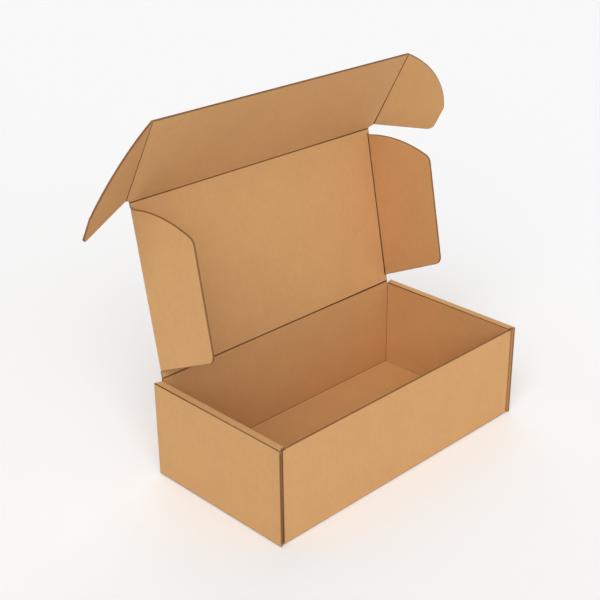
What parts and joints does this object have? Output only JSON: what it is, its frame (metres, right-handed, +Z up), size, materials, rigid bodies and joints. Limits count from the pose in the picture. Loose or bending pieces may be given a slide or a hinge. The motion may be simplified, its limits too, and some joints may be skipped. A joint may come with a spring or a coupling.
{
  "type": "corrugated mailer box",
  "caption": "Kraft corrugated mailer with rolled end walls, standing open: reclined lid with dust flaps, tuck flap and rounded side ears.",
  "frame": {"origin": "centre of the underside of the tray's floor, in the plane it stands on", "axes": "+X along the length, to the right seen from the front; +Y from the front wall to the back wall with the lid hinge; +Z up"},
  "size_m": [0.3458, 0.1515, 0.2683],
  "materials": {
    "board": "plain kraft liner, matt"
  },
  "bodies": {
    "tray": {"tray": "board"},
    "lid": {"lid": "board"},
    "left_dust_flap": {"left_dust_flap": "board"},
    "right_dust_flap": {"right_dust_flap": "board"},
    "tuck_flap": {"tuck_flap": "board"},
    "left_ear": {"left_ear": "board"},
    "right_ear": {"right_ear": "board"}
  },
  "joints": [
    {"name": "lid_hinge", "type": "hinge", "parent": "tray", "child": "lid", "pos_m": [0, 0.063, 0.0765], "axis": [-1, 0, 0], "range_deg": [-100.64, 79.36]},
    {"name": "left_dust_fold", "type": "hinge", "parent": "lid", "child": "left_dust_flap", "pos_m": [-0.1174, 0.075, 0.14038], "axis": [0, -0.1846, -0.9828], "range_deg": [0, 90]},
    {"name": "right_dust_fold", "type": "hinge", "parent": "lid", "child": "right_dust_flap", "pos_m": [0.1174, 0.075, 0.14038], "axis": [0, 0.1846, 0.9828], "range_deg": [0, 90]},
    {"name": "tuck_fold", "type": "hinge", "parent": "lid", "child": "tuck_flap", "pos_m": [0, 0.0867, 0.20264], "axis": [-1, 0, 0], "range_deg": [-50.02, 39.98]},
    {"name": "left_ear_fold", "type": "hinge", "parent": "tuck_flap", "child": "left_ear", "pos_m": [-0.1226, 0.06754, 0.23673], "axis": [0, 0.49, -0.8717], "range_deg": [-65.6, 24.4]},
    {"name": "right_ear_fold", "type": "hinge", "parent": "tuck_flap", "child": "right_ear", "pos_m": [0.1226, 0.06754, 0.23673], "axis": [0, -0.49, 0.8717], "range_deg": [-65.6, 24.4]}
  ]
}
